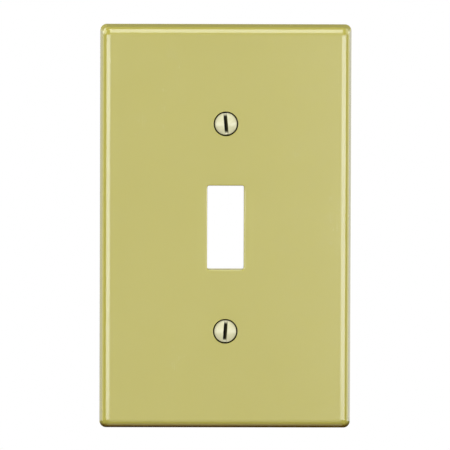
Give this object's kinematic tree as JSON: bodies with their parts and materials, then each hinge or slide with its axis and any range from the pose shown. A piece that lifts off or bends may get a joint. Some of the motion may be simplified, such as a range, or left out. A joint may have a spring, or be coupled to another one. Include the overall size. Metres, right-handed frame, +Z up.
{
  "type": "toggle switch wall plate",
  "caption": "Rectangular glossy ivory wall plate with rolled edges, a toggle opening and countersunk oval-head slotted screws held captive behind it.",
  "frame": {"origin": "centre of the plane of the rear rim, where the plate meets the wall, midway between the two screws and on the toggle's axis", "axes": "+Z up, +X to the right of someone who faces the plate, +Y into the wall; the face looks along -Y"},
  "size_m": [0.0728, 0.0137, 0.1176],
  "materials": {
    "ivory_plastic": "gloss",
    "painted_screw": "gloss",
    "fibre_washer": "matte"
  },
  "bodies": {
    "wall_plate": {"wall_plate": "ivory_plastic"},
    "upper_washer": {"upper_retaining_washer": "fibre_washer"},
    "upper_screw": {"upper_screw": "painted_screw"},
    "lower_washer": {"lower_retaining_washer": "fibre_washer"},
    "lower_screw": {"lower_screw": "painted_screw"}
  },
  "joints": [
    {"name": "upper_screw_travel", "type": "slide", "parent": "wall_plate", "child": "upper_washer", "axis": [0, -1, 0], "range_m": [0, 0.00317]},
    {"name": "upper_screw_turn", "type": "hinge", "parent": "upper_washer", "child": "upper_screw", "pos_m": [0, 0, 0.03016], "axis": [0, -1, 0], "range_deg": [0, 1440]},
    {"name": "lower_screw_travel", "type": "slide", "parent": "wall_plate", "child": "lower_washer", "axis": [0, -1, 0], "range_m": [0, 0.00317]},
    {"name": "lower_screw_turn", "type": "hinge", "parent": "lower_washer", "child": "lower_screw", "pos_m": [0, 0, -0.03016], "axis": [0, -1, 0], "range_deg": [0, 1440]}
  ],
  "couplings": [
    {"joint": "upper_screw_turn", "follows": "upper_screw_travel", "rad_per_m": 7915.8},
    {"joint": "lower_screw_turn", "follows": "lower_screw_travel", "rad_per_m": 7915.8}
  ]
}
